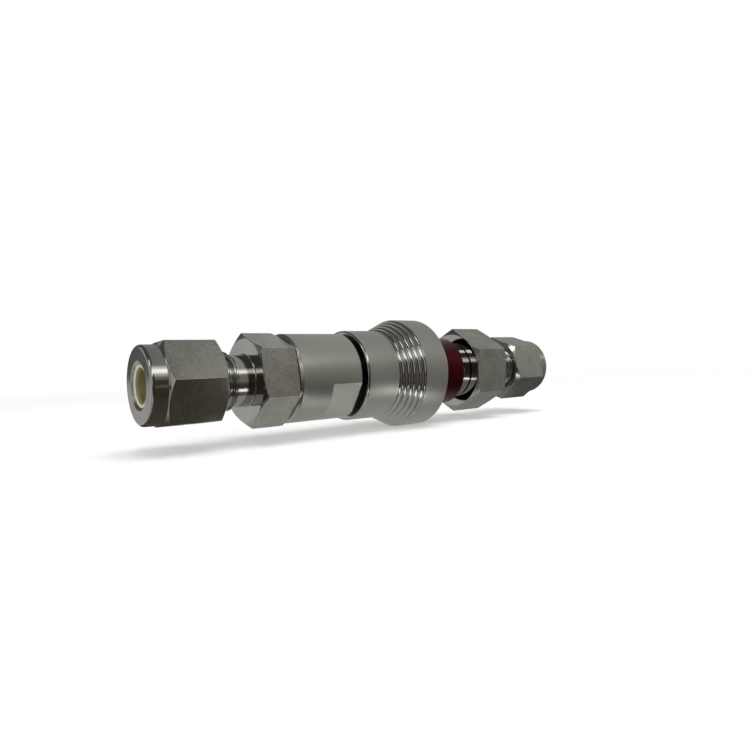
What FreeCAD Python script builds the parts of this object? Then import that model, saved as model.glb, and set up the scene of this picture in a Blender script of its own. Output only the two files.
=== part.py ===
import FreeCAD, Part
import math
import os

# Quick connect fitting: a body and a stem that latch together with balls under a sliding sleeve.
# Each half has a spring-loaded shut-off valve and a compression end for a tube.
# Millimetres and degrees. Stations run along the axis from the outer face of the body's nut.
# On export the middle of the overall length becomes the origin, +X points from the body to the stem.
# A turn is the angle about the axis from the front, -Y, up towards +Z.

# Clearances
slide_play = 0.05
face_play = 0.05
thread_play = 0.05
seal_play = 0.04
ferrule_play = 0.055
ferrule_seat_play = 0.05
groove_play = 0.06
land_play = 0.16
probe_play = 0.02

# Tube end, the same on both halves
tube_dia = 6.35
tube_play = 0.075
flow_dia = 4.8
tube_stop = 15.8
nut_across_flats = 14.29
nut_length = 13.1
nut_collar_dia = 13.9
nut_collar_length = 2.75
nut_collar_round = 0.6
nut_front_wall = 3.3
nut_mouth_chamfer = 0.95
nut_cavity_room = 0.2
nut_thread_lead = 0.35
nut_thread_chamfer = 0.4
fitting_setback = 6.9
fitting_mouth_rise = 0.9
fitting_mouth_depth = 2.7
fitting_wall = 1.35
thread_chamfer = 0.6
thread_show = 2.3
neck_cut = 0.65
neck_gap = 6.15
neck_round = 0.25
nut_chamfer = 30.0
fitting_chamfer = 20.0
hex_face_cut = 0.1
hex_stock = 0.3

# Ferrules
back_ferrule_length = 2.15
back_ferrule_rim = 0.95
front_ferrule_setback = 1.6
front_ferrule_reach = 1.9
ferrule_edge = 0.2

# Plug in the mouth of the body's nut
plug_sink = 0.35
plug_rim = 0.5
plug_length = 3.0
plug_wall = 0.4
plug_floor = 0.6

# Body end: hexagon and spigot that screws into the housing
body_across_flats = 15.88
body_hex_length = 7.35
body_relief_length = 0.8
body_relief_depth = 0.3
body_thread_length = 3.2
body_seal_land_length = 2.4
body_seal_section = 1.1
body_seal_shoulder = 0.4
spigot_chamfer = 0.3

# Body valve
valve_lift = 1.5
valve_seat_gap = 0.1
valve_seal_sink = 0.25
body_seat_step = 1.75
body_seat_length = 1.2
body_seat_rise = 1.7
body_head_lap = 1.3
body_head_length = 1.55
body_nose_back = 0.4
body_chamber_room = 1.3
body_seal_step = 0.45
body_thread_step = 0.5
body_probe_dia = 2.6
body_valve_seal_dia = 0.8
body_ring_climb = 0.425
body_spring_wire = 0.7
body_spring_dia = 6.8
body_spring_turns = 5
guide_thickness = 1.5
guide_holes = 4
body_guide_dia = 8.7
body_guide_hole_dia = 1.8
body_guide_depth = 6.3
body_tail_reach = 1.25

# Housing and ball cage
housing_length = 13.9
housing_step = 0.75
housing_chamfer = 0.45
housing_edge = 0.15
housing_flats = 15.88
housing_flat_length = 6.9
guide_length = 5.05
bore_setback = 0.2
stem_seal_setback = 1.9
stem_seal_section = 1.4
stem_seal_side_room = 0.4
cage_setback = 0.15
cage_chamfer = 0.3
cage_mouth_chamfer = 0.5

# Locking balls
ball_count = 6
ball_dia = 2.778
ball_bite = 0.39
ball_stand = 0.488
ball_clear = 0.03
ball_lip = 0.25
ball_lip_play = 0.04

# Sleeve
sleeve_travel = 1.1
sleeve_wall = 1.35
sleeve_straight = 7.95
sleeve_round = 0.45
grip_length = 5.5
grip_grooves = 5
grip_groove_dia = 1.12
grip_groove_depth = 0.36
flange_rise = 2.45
flange_length = 6.4
flange_round = 0.3
land_length = 2.65
land_overlap = 0.05
relief_room = 0.3
front_bore_step = 0.6
front_bore_depth = 1.95
spring_seat = 0.502
sleeve_spring_length = 6.2
sleeve_spring_wire = 0.8
sleeve_spring_turns = 4
snap_ring_thickness = 1.0
snap_ring_seat = 0.5
snap_ring_gap = 4.0

# Stem
stem_dia = 10.0
nose_gap = 0.3
nose_lip = 1.3
nose_chamfer = 0.6
meet_depth = 0.3
stem_wall = 0.95
stem_seat_rise = 1.2
stem_head_room = 0.3
stem_head_length = 1.55
stem_nose_back = 0.5
stem_probe_dia = 2.2
stem_valve_seal_dia = 0.72
stem_ring_climb = 0.2
stem_spring_wire = 0.6
stem_spring_dia = 5.2
stem_spring_turns = 8
stem_guide_hole_dia = 1.5
stem_tail_reach = 1.2
stem_shoulder_gap = 0.7
stem_shoulder_round = 0.2
stem_thread_step = 1.1
stem_seal_pocket = 0.9
stem_seal_pocket_depth = 1.7
stem_collar_wall = 0.9
stem_collar_chamfer = 0.2
stem_line_setback = 1.8
stem_line_width = 0.3
stem_line_depth = 0.25
stem_body_length = 12.4
stem_across_flats = 17.46
stem_hex_length = 10.0
coding_ring_wall = 1.2
coding_ring_setback = 0.7
coding_ring_length = 8.2
coding_ring_play = 0.03
coding_ring_chamfer = 0.25

# Turns of the flats
body_nut_turn = -23.7
body_hex_turn = 10.2
housing_flat_turn = -33.5
stem_hex_turn = -1.6
stem_nut_turn = 10.6
snap_ring_turn = 150.0
first_ball_turn = 90.0

# Radii that follow
tube_bore_r = tube_dia / 2 + tube_play
ferrule_bore_r = tube_dia / 2 + ferrule_play
flow_r = flow_dia / 2
mouth_r = tube_bore_r + fitting_mouth_rise
thread_r = mouth_r + fitting_wall
neck_r = thread_r - neck_cut
ferrule_r = mouth_r + ferrule_seat_play
mouth_slope = fitting_mouth_rise / fitting_mouth_depth

stem_r = stem_dia / 2
cage_bore_r = stem_r + slide_play
ball_r = ball_dia / 2
ball_centre_r = stem_r - ball_bite + ball_r
ball_top_r = ball_centre_r + ball_r
groove_r = ball_r + groove_play
cage_r = ball_top_r - ball_stand
land_r = ball_top_r + land_play
relief_r = ball_top_r + ball_bite + ball_clear + relief_room
front_bore_r = relief_r + front_bore_step

skirt_bore_r = land_r + spring_seat
guide_r = skirt_bore_r - slide_play
housing_r = guide_r + housing_step
sleeve_r = skirt_bore_r + sleeve_wall
flange_r = sleeve_r + flange_rise
snap_ring_r = front_bore_r - 2 * slide_play
snap_groove_r = cage_r - snap_ring_seat

body_seat_r = cage_bore_r - body_seat_step
body_head_r = body_seat_r + body_head_lap
body_chamber_r = body_head_r + body_chamber_room
body_seal_bore_r = body_chamber_r + body_seal_step
body_thread_bore_r = body_seal_bore_r + body_thread_step
body_spigot_r = body_thread_bore_r - thread_play
body_seal_land_r = body_seal_bore_r - slide_play
body_probe_r = body_probe_dia / 2
body_guide_bore_r = body_guide_dia / 2 + slide_play

stem_chamber_r = ball_centre_r - groove_r - stem_wall
stem_seat_r = stem_chamber_r - stem_seat_rise
stem_head_r = stem_chamber_r - stem_head_room
stem_thread_bore_r = stem_chamber_r + stem_thread_step
stem_spigot_r = stem_thread_bore_r - thread_play
stem_pocket_r = stem_thread_bore_r + stem_seal_pocket
stem_collar_r = stem_pocket_r + stem_collar_wall
stem_probe_r = stem_probe_dia / 2
coding_ring_bore_r = stem_collar_r + coding_ring_play

# Stations that follow
thread_end = nut_length + thread_show
hex_front = nut_length + neck_gap
body_hex_end = hex_front + body_hex_length
spigot_thread_start = body_hex_end + body_relief_length
spigot_thread_end = spigot_thread_start + body_thread_length
spigot_end = spigot_thread_end + body_seal_land_length
body_guide_seat = spigot_end - body_guide_depth

housing_end = body_hex_end + housing_length
guide_end = housing_end + guide_length
bore_end = housing_end + bore_setback
body_seat_x = bore_end - body_seat_length
chamber_end = body_seat_x - body_seat_rise

sleeve_start = housing_end + sleeve_travel + face_play
grip_start = sleeve_start + sleeve_straight
flange_start = grip_start + grip_length
sleeve_end = flange_start + flange_length
land_start = guide_end + sleeve_spring_length
land_end = land_start + land_length
ball_x = land_end - land_overlap
front_bore_x = sleeve_end - front_bore_depth
cage_end = sleeve_end - cage_setback

nose_x = bore_end + nose_gap
meet_x = nose_x + meet_depth
stem_seat_x = nose_x + nose_lip
stem_shoulder_x = cage_end + stem_shoulder_gap
stem_body_end = stem_shoulder_x + stem_body_length
stem_guide_end = stem_shoulder_x + stem_shoulder_gap
coding_ring_x = stem_shoulder_x + coding_ring_setback
overall_length = stem_body_end + stem_hex_length + hex_front

origin = FreeCAD.Vector(0, 0, 0)
axis = FreeCAD.Vector(1, 0, 0)
upright = FreeCAD.Vector(0, 0, 1)


def on_axis(x):
    return FreeCAD.Vector(x, 0, 0)


def outwards(turn, radius, x=0):
    angle = math.radians(turn)
    return FreeCAD.Vector(x, -radius * math.cos(angle), radius * math.sin(angle))


def rounded(before, corner, after, radius):
    """Ends and middle of the arc that rounds a corner between two straight edges."""
    back = (before - corner).normalize()
    ahead = (after - corner).normalize()
    half = back.getAngle(ahead) / 2
    reach = radius / math.tan(half)
    inset = radius / math.sin(half) - radius
    return corner + back * reach, corner + (back + ahead).normalize() * inset, corner + ahead * reach


def turned(points):
    """Solid of revolution about the axis. A point is station, radius and, if wanted, corner radius."""
    places = [FreeCAD.Vector(point[0], point[1], 0) for point in points]
    corners = []
    for index, point in enumerate(points):
        place = places[index]
        if len(point) == 3:
            corners.append(rounded(places[index - 1], place, places[(index + 1) % len(points)], point[2]))
        else:
            corners.append((place, None, place))
    edges = []
    for index, (start, middle, end) in enumerate(corners):
        if middle is not None:
            edges.append(Part.Arc(start, middle, end).toShape())
        following = corners[(index + 1) % len(corners)][0]
        edges.append(Part.LineSegment(end, following).toShape())
    return Part.Face(Part.Wire(edges)).revolve(origin, axis, 360)


def hex_bar(across_flats, start, end, turn):
    corner_r = across_flats / math.sqrt(3)
    corners = [outwards(turn + 30 + 60 * side, corner_r, start) for side in range(6)]
    return Part.Face(Part.makePolygon(corners + corners[:1])).extrude(on_axis(end - start))


def round_bar(radius, start, end):
    return Part.makeCylinder(radius, end - start, on_axis(start), axis)


def o_ring(x, radius, section_r):
    return Part.makeTorus(radius, section_r, on_axis(x), axis)


def coil(start, end, mean_r, wire, turns):
    """Compression spring between two faces."""
    rise = end - start - wire
    helix = Part.makeHelix(rise / turns, rise, mean_r)
    section = Part.Wire(Part.makeCircle(wire / 2, FreeCAD.Vector(mean_r, 0, 0), FreeCAD.Vector(0, 1, 0)))
    spring = Part.Wire(helix).makePipeShell([section], True, True)
    spring.rotate(origin, FreeCAD.Vector(0, 1, 0), 90)
    spring.translate(on_axis(start + wire / 2))
    return spring


def to_stem_end(shape):
    """Turns a piece modelled at the body's tube end round to the stem's tube end."""
    shape.rotate(origin, upright, 180)
    shape.translate(on_axis(overall_length))
    return shape


def tube_nut(turn):
    collar_r = nut_collar_dia / 2
    stock_r = nut_across_flats / math.sqrt(3) + hex_stock
    back_face_r = nut_across_flats / 2 - hex_face_cut
    slope = math.tan(math.radians(nut_chamfer))
    thread_bore_r = thread_r + thread_play
    cavity_r = ferrule_r + nut_cavity_room
    thread_start = fitting_setback - nut_thread_lead
    blank = turned([
        (0, tube_bore_r + nut_mouth_chamfer),
        (0, collar_r, nut_collar_round),
        (nut_collar_length, collar_r),
        (nut_collar_length + (stock_r - collar_r) * slope, stock_r),
        (nut_length - (stock_r - back_face_r) * slope, stock_r),
        (nut_length, back_face_r),
        (nut_length, thread_bore_r + nut_thread_chamfer),
        (nut_length - nut_thread_chamfer, thread_bore_r),
        (thread_start, thread_bore_r),
        (thread_start - (thread_bore_r - cavity_r), cavity_r),
        (nut_front_wall, cavity_r),
        (nut_front_wall, tube_bore_r),
        (nut_mouth_chamfer, tube_bore_r),
    ])
    return blank.common(hex_bar(nut_across_flats, 0, nut_length, turn))


def back_ferrule():
    start = nut_front_wall + face_play
    nose_r = ferrule_r - ferrule_edge - ferrule_seat_play
    nose_start = nut_front_wall + front_ferrule_setback
    tip = start + back_ferrule_length
    return turned([
        (start, ferrule_bore_r),
        (start, ferrule_r),
        (start + back_ferrule_rim, ferrule_r),
        (start + back_ferrule_rim + ferrule_edge, nose_r),
        (nose_start, nose_r),
        (tip, nose_r - (tip - nose_start)),
        (tip, ferrule_bore_r),
    ])


def front_ferrule():
    start = nut_front_wall + front_ferrule_setback
    seat_r = ferrule_r - ferrule_edge
    tip = fitting_setback + front_ferrule_reach
    cone_r = mouth_r - ferrule_seat_play
    return turned([
        (start, seat_r),
        (start, ferrule_r),
        (fitting_setback - (ferrule_r - cone_r) / mouth_slope, ferrule_r),
        (tip, cone_r - front_ferrule_reach * mouth_slope),
        (tip, ferrule_bore_r),
        (start + seat_r - ferrule_bore_r, ferrule_bore_r),
    ])


def port_plug():
    outer_r = tube_bore_r - slide_play
    lip_r = outer_r + nut_mouth_chamfer - plug_sink
    inner_r = outer_r - plug_wall
    recess_r = lip_r - plug_rim
    return turned([
        (plug_sink, recess_r),
        (plug_sink, lip_r),
        (nut_mouth_chamfer, outer_r),
        (plug_length, outer_r),
        (plug_length, 0),
        (plug_length - plug_floor, 0),
        (plug_length - plug_floor, inner_r),
        (plug_sink + recess_r - inner_r, inner_r),
    ])


def fitting_outside():
    """Male thread and neck of a tube end, from its mouth to the hexagon."""
    return [
        (fitting_setback, mouth_r),
        (fitting_setback, thread_r - thread_chamfer),
        (fitting_setback + thread_chamfer, thread_r),
        (thread_end, thread_r),
        (thread_end + neck_cut, neck_r),
        (hex_front, neck_r, neck_round),
    ]


def fitting_inside():
    """Flow bore, tube stop and tube socket, back to the mouth."""
    return [
        (tube_stop, flow_r),
        (tube_stop, tube_bore_r),
        (fitting_setback + fitting_mouth_depth, tube_bore_r),
    ]


def hex_outside(length, across_flats):
    face_r = across_flats / 2 - hex_face_cut
    stock_r = across_flats / math.sqrt(3) + hex_stock
    rise = (stock_r - face_r) * math.tan(math.radians(fitting_chamfer))
    return [
        (hex_front, face_r),
        (hex_front + rise, stock_r),
        (hex_front + length - rise, stock_r),
        (hex_front + length, face_r),
    ]


body_seal_r = body_seal_bore_r - seal_play - body_seal_section / 2
body_seal_x = spigot_thread_end + body_seal_shoulder + body_seal_section / 2 + seal_play


def body_end():
    relief_r = body_spigot_r - body_relief_depth
    groove_bottom_r = body_seal_r - body_seal_section / 2 - seal_play
    groove_half = body_seal_section / 2 + seal_play
    blank = turned(fitting_outside() + hex_outside(body_hex_length, body_across_flats) + [
        (body_hex_end, relief_r),
        (spigot_thread_start, relief_r),
        (spigot_thread_start + body_relief_depth, body_spigot_r),
        (spigot_thread_end, body_spigot_r),
        (spigot_thread_end, body_seal_land_r),
        (body_seal_x - groove_half, body_seal_land_r),
        (body_seal_x - groove_half, groove_bottom_r),
        (body_seal_x + groove_half, groove_bottom_r),
        (body_seal_x + groove_half, body_seal_land_r),
        (spigot_end - spigot_chamfer, body_seal_land_r),
        (spigot_end, body_seal_land_r - spigot_chamfer),
        (spigot_end, body_guide_bore_r),
        (body_guide_seat, body_guide_bore_r),
        (body_guide_seat, flow_r),
    ] + fitting_inside())
    return blank.common(hex_bar(body_across_flats, fitting_setback, spigot_end, body_hex_turn))


def body_joint_seal():
    return o_ring(body_seal_x, body_seal_r, body_seal_section / 2)


stem_seal_r = stem_r + seal_play + stem_seal_section / 2
stem_seal_room = stem_seal_section + 2 * stem_seal_side_room


def housing():
    groove_start = bore_end + stem_seal_setback
    groove_bottom_r = stem_seal_r + stem_seal_section / 2 + seal_play
    snap_groove_end = front_bore_x + snap_ring_thickness + 2 * face_play
    blank = turned([
        (body_hex_end, body_thread_bore_r + housing_chamfer),
        (body_hex_end, housing_r - housing_chamfer),
        (body_hex_end + housing_chamfer, housing_r),
        (housing_end, housing_r, housing_edge),
        (housing_end, guide_r),
        (guide_end, guide_r),
        (guide_end, cage_r),
        (front_bore_x, cage_r),
        (front_bore_x, snap_groove_r),
        (snap_groove_end, snap_groove_r),
        (snap_groove_end, cage_r),
        (cage_end - cage_chamfer, cage_r),
        (cage_end, cage_r - cage_chamfer),
        (cage_end, cage_bore_r + cage_mouth_chamfer),
        (cage_end - cage_mouth_chamfer, cage_bore_r),
        (groove_start + stem_seal_room, cage_bore_r),
        (groove_start + stem_seal_room, groove_bottom_r),
        (groove_start, groove_bottom_r),
        (groove_start, cage_bore_r),
        (bore_end, cage_bore_r),
        (bore_end, body_seat_r),
        (body_seat_x, body_seat_r),
        (chamber_end, body_seat_r + body_seat_rise),
        (chamber_end, body_chamber_r),
        (spigot_end, body_chamber_r),
        (spigot_end, body_seal_bore_r),
        (spigot_thread_end, body_seal_bore_r),
        (spigot_thread_end, body_thread_bore_r),
        (body_hex_end + housing_chamfer, body_thread_bore_r),
    ])
    for side in (0, 180):
        blank = blank.cut(wrench_cut(housing_flat_turn + side))
    for index in range(ball_count):
        blank = blank.cut(ball_pocket(ball_turn(index)))
    return blank


def wrench_cut(turn):
    """Stock removed beside one wrench flat of the housing."""
    depth = housing_r - housing_flats / 2
    box = Part.makeBox(housing_flat_length, 2 * depth, 2 * housing_r)
    low_y = -housing_flats / 2 - 2 * depth
    box.translate(FreeCAD.Vector(housing_end - housing_flat_length, low_y, -housing_r))
    box.rotate(origin, axis, -turn)
    return box


def ball_turn(index):
    return first_ball_turn + index * 360 / ball_count


def ball_pocket(turn):
    """Radial hole in the cage, with a lip inside that keeps the ball from falling through."""
    direction = outwards(turn, 1)
    lip_top_r = cage_bore_r + ball_lip
    lip_hole_r = math.sqrt(ball_r**2 - (ball_centre_r - lip_top_r) ** 2) + ball_lip_play
    hole = Part.makeCylinder(ball_r + slide_play, cage_r, outwards(turn, lip_top_r, ball_x), direction)
    mouth = Part.makeCylinder(lip_hole_r, cage_r, on_axis(ball_x), direction)
    return hole.fuse(mouth)


def locking_ball(turn):
    return Part.makeSphere(ball_r, outwards(turn, ball_centre_r, ball_x))


def stem_seal():
    return o_ring(bore_end + stem_seal_setback + stem_seal_room / 2, stem_seal_r, stem_seal_section / 2)


def valve_guide(start, outer_r, tail_r, hole_dia):
    """Disc that steadies a valve's tail, with flow holes around it."""
    end = start + guide_thickness
    disc = round_bar(outer_r, start, end).cut(round_bar(tail_r + slide_play, start, end))
    pitch_r = (outer_r + tail_r) / 2
    for index in range(guide_holes):
        place = outwards(index * 360 / guide_holes, pitch_r, start)
        disc = disc.cut(Part.makeCylinder(hole_dia / 2, guide_thickness, place, axis))
    return disc


def body_valve_guide():
    return valve_guide(body_guide_seat, body_guide_dia / 2, body_probe_r, body_guide_hole_dia)


def body_cone_x(radius):
    """Station of the open valve's cone, parallel to its seat."""
    return body_seat_x - valve_lift - valve_seat_gap * math.sqrt(2) - (radius - body_seat_r)


body_head_x = body_cone_x(body_head_r) - body_head_length
body_ring_r = body_seat_r + body_ring_climb
body_ring_sink = valve_seal_sink / math.sqrt(2)


def body_valve_seal(play=0.0):
    x = body_cone_x(body_ring_r) - body_ring_sink
    return o_ring(x, body_ring_r - body_ring_sink, body_valve_seal_dia / 2 + play)


def body_valve():
    tail_end = body_guide_seat - body_tail_reach
    nose_r = body_seat_r - body_nose_back
    blank = turned([
        (tail_end, 0),
        (tail_end, body_probe_r),
        (body_head_x, body_probe_r),
        (body_head_x, body_head_r),
        (body_cone_x(body_head_r), body_head_r),
        (body_cone_x(nose_r), nose_r),
        (body_cone_x(nose_r), body_probe_r),
        (meet_x, body_probe_r),
        (meet_x, 0),
    ])
    return blank.cut(body_valve_seal(seal_play))


def body_valve_spring():
    start = body_guide_seat + guide_thickness + face_play
    end = body_head_x - face_play
    return coil(start, end, body_spring_dia / 2, body_spring_wire, body_spring_turns)


def sleeve():
    ramp = relief_r - land_r
    blank = turned([
        (sleeve_start, skirt_bore_r),
        (sleeve_start, sleeve_r, sleeve_round),
        (grip_start, sleeve_r),
        (flange_start, flange_r),
        (sleeve_end, flange_r, flange_round),
        (sleeve_end, front_bore_r),
        (front_bore_x, front_bore_r),
        (front_bore_x, relief_r),
        (land_end + ramp, relief_r),
        (land_end, land_r),
        (land_start, land_r),
        (land_start, skirt_bore_r),
    ])
    pitch = grip_length / grip_grooves
    cone = math.atan(flange_rise / grip_length)
    lift = grip_groove_dia / 2 - grip_groove_depth
    for index in range(grip_grooves):
        along = (index + 0.5) * pitch
        scallop_x = grip_start + along - lift * math.sin(cone)
        scallop_r = sleeve_r + along * math.tan(cone) + lift * math.cos(cone)
        blank = blank.cut(o_ring(scallop_x, scallop_r, grip_groove_dia / 2))
    return blank


def sleeve_spring():
    mean_r = (cage_r + skirt_bore_r) / 2
    start = guide_end + face_play
    end = land_start - face_play
    return coil(start, end, mean_r, sleeve_spring_wire, sleeve_spring_turns)


def snap_ring():
    start = front_bore_x + face_play
    end = start + snap_ring_thickness
    ring = round_bar(snap_ring_r, start, end).cut(round_bar(snap_groove_r + slide_play, start, end))
    gap = Part.makeBox(snap_ring_thickness, 2 * snap_ring_r, snap_ring_gap)
    gap.translate(FreeCAD.Vector(start, -2 * snap_ring_r, -snap_ring_gap / 2))
    gap.rotate(origin, axis, -snap_ring_turn)
    return ring.cut(gap)


def stem_body():
    line_start = stem_body_end - stem_line_setback - stem_line_width / 2
    line_end = line_start + stem_line_width
    line_r = stem_collar_r - stem_line_depth
    blank = turned([
        (nose_x, stem_r - nose_chamfer),
        (nose_x + nose_chamfer, stem_r),
        (stem_shoulder_x, stem_r, stem_shoulder_round),
        (stem_shoulder_x, stem_collar_r - stem_collar_chamfer),
        (stem_shoulder_x + stem_collar_chamfer, stem_collar_r),
        (line_start, stem_collar_r),
        (line_start, line_r),
        (line_end, line_r),
        (line_end, stem_collar_r),
        (stem_body_end, stem_collar_r),
        (stem_body_end, stem_pocket_r),
        (stem_body_end - stem_seal_pocket_depth, stem_pocket_r),
        (stem_body_end - stem_seal_pocket_depth, stem_thread_bore_r),
        (stem_guide_end, stem_thread_bore_r),
        (stem_guide_end, stem_chamber_r),
        (stem_seat_x + stem_seat_rise, stem_chamber_r),
        (stem_seat_x, stem_seat_r),
        (nose_x, stem_seat_r),
    ])
    return blank.cut(o_ring(ball_x, ball_centre_r, groove_r))


def coding_ring():
    outer_r = coding_ring_bore_r + coding_ring_wall
    end = coding_ring_x + coding_ring_length
    return turned([
        (coding_ring_x, coding_ring_bore_r),
        (coding_ring_x, outer_r - coding_ring_chamfer),
        (coding_ring_x + coding_ring_chamfer, outer_r),
        (end - coding_ring_chamfer, outer_r),
        (end, outer_r - coding_ring_chamfer),
        (end, coding_ring_bore_r),
    ])


def stem_cone_x(radius):
    """Station of the open valve's cone, parallel to its seat."""
    return stem_seat_x + valve_lift + valve_seat_gap * math.sqrt(2) + radius - stem_seat_r


stem_head_x = stem_cone_x(stem_head_r) + stem_head_length
stem_ring_r = stem_seat_r + stem_ring_climb
stem_ring_sink = valve_seal_sink / math.sqrt(2)


def stem_valve_seal(play=0.0):
    x = stem_cone_x(stem_ring_r) + stem_ring_sink
    return o_ring(x, stem_ring_r - stem_ring_sink, stem_valve_seal_dia / 2 + play)


def stem_valve():
    tail_end = stem_guide_end + stem_tail_reach
    nose_r = stem_seat_r - stem_nose_back
    blank = turned([
        (meet_x + probe_play, 0),
        (meet_x + probe_play, stem_probe_r),
        (stem_cone_x(nose_r), stem_probe_r),
        (stem_cone_x(nose_r), nose_r),
        (stem_cone_x(stem_head_r), stem_head_r),
        (stem_head_x, stem_head_r),
        (stem_head_x, stem_probe_r),
        (tail_end, stem_probe_r),
        (tail_end, 0),
    ])
    return blank.cut(stem_valve_seal(seal_play))


def stem_valve_guide():
    return valve_guide(stem_guide_end - guide_thickness, stem_chamber_r - slide_play, stem_probe_r,
                       stem_guide_hole_dia)


def stem_valve_spring():
    start = stem_head_x + face_play
    end = stem_guide_end - guide_thickness - face_play
    return coil(start, end, stem_spring_dia / 2, stem_spring_wire, stem_spring_turns)


def stem_joint_seal():
    section_r = (stem_pocket_r - stem_spigot_r) / 2 - seal_play
    return o_ring(stem_body_end - stem_seal_pocket_depth / 2, (stem_pocket_r + stem_spigot_r) / 2, section_r)


def stem_end():
    hex_end = hex_front + stem_hex_length
    tip = hex_end + stem_body_end - stem_guide_end - face_play
    blank = turned(fitting_outside() + hex_outside(stem_hex_length, stem_across_flats) + [
        (hex_end, stem_spigot_r),
        (tip - spigot_chamfer, stem_spigot_r),
        (tip, stem_spigot_r - spigot_chamfer),
        (tip, flow_r),
    ] + fitting_inside())
    bar = hex_bar(stem_across_flats, fitting_setback, tip, -stem_hex_turn)
    return to_stem_end(blank.common(bar))


pieces = {
    "body_nut": tube_nut(body_nut_turn),
    "body_back_ferrule": back_ferrule(),
    "body_front_ferrule": front_ferrule(),
    "port_plug": port_plug(),
    "body_end": body_end(),
    "body_joint_seal": body_joint_seal(),
    "housing": housing(),
    "stem_seal": stem_seal(),
    "body_valve": body_valve(),
    "body_valve_seal": body_valve_seal(),
    "body_valve_guide": body_valve_guide(),
    "body_valve_spring": body_valve_spring(),
    "sleeve": sleeve(),
    "sleeve_spring": sleeve_spring(),
    "snap_ring": snap_ring(),
    "stem_body": stem_body(),
    "coding_ring": coding_ring(),
    "stem_valve": stem_valve(),
    "stem_valve_seal": stem_valve_seal(),
    "stem_valve_guide": stem_valve_guide(),
    "stem_valve_spring": stem_valve_spring(),
    "stem_joint_seal": stem_joint_seal(),
    "stem_end": stem_end(),
    "stem_front_ferrule": to_stem_end(front_ferrule()),
    "stem_back_ferrule": to_stem_end(back_ferrule()),
    "stem_nut": to_stem_end(tube_nut(-stem_nut_turn)),
}
for index in range(ball_count):
    pieces[f"locking_ball_{index + 1}"] = locking_ball(ball_turn(index))

os.makedirs("parts", exist_ok=True)
for name, shape in pieces.items():
    solid = shape.Solids[0]
    solid.translate(on_axis(-overall_length / 2))
    solid.exportStep(f"parts/{name}.step")
    print(name, len(shape.Solids), solid.isValid(), round(solid.Volume, 3))
print("overall length", round(overall_length, 3), "flange diameter", round(2 * flange_r, 3))
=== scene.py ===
import bpy
import numpy as np
from mathutils import Matrix


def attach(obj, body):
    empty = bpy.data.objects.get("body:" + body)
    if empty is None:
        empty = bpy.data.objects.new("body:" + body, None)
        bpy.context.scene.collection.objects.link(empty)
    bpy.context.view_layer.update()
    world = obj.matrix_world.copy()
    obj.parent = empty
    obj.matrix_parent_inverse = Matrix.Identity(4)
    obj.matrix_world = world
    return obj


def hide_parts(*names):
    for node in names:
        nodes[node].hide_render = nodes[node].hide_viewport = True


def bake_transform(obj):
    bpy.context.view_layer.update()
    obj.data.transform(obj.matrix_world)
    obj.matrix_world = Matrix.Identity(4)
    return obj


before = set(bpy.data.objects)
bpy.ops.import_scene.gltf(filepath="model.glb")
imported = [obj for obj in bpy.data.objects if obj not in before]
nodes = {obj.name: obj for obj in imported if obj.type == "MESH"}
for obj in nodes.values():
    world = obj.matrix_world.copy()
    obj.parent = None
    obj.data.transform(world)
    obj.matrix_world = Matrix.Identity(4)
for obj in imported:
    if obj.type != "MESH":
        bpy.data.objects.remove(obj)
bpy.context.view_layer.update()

mm = 0.001
midStation = 51.85      # stations run along the axis from the outer face of the body's nut, in mm
polished, satin, mirror, shadedFace = 0, 1, 2, 3      # finishes of a steel piece, in the order of its material slots
crisp, broken, eased = 0.05, 0.08, 0.1      # roundings of most edges, in mm
arcSteps = ((0.06, 2), (0.2, 4), (np.inf, 7))      # an edge rounded by less than the first gets the second in steps
noiseRange = (0.3, 0.7)      # nearly all of a noise lies between these


def atStation(station):
    return (station - midStation) * mm


def unit(v):
    return v / np.maximum(np.linalg.norm(v, axis=0), 1e-12)


def cornerRows(before, corner, after, rounding):
    # arc of the given radius between the two straight sides of a corner; its tangent turns evenly from side to side
    steps = next(count for limit, count in arcSteps if rounding < limit)
    back, ahead = unit(before - corner), unit(after - corner)
    half = np.arccos(np.clip((back * ahead).sum(0), -0.999999, 0.999999)) / 2
    sweep = np.pi - 2 * half
    share = np.linspace(0, 1, steps + 1)[:, None, None]
    first = np.sin((1 - share) * sweep) / np.sin(sweep)
    second = np.sin(share * sweep) / np.sin(sweep)
    centre = corner + unit(back + ahead) * rounding / np.sin(half)
    reach = rounding / np.tan(half)
    arc = centre + first * (corner + back * reach - centre) + second * (corner + ahead * reach - centre)
    return arc, second * ahead - first * back


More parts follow.
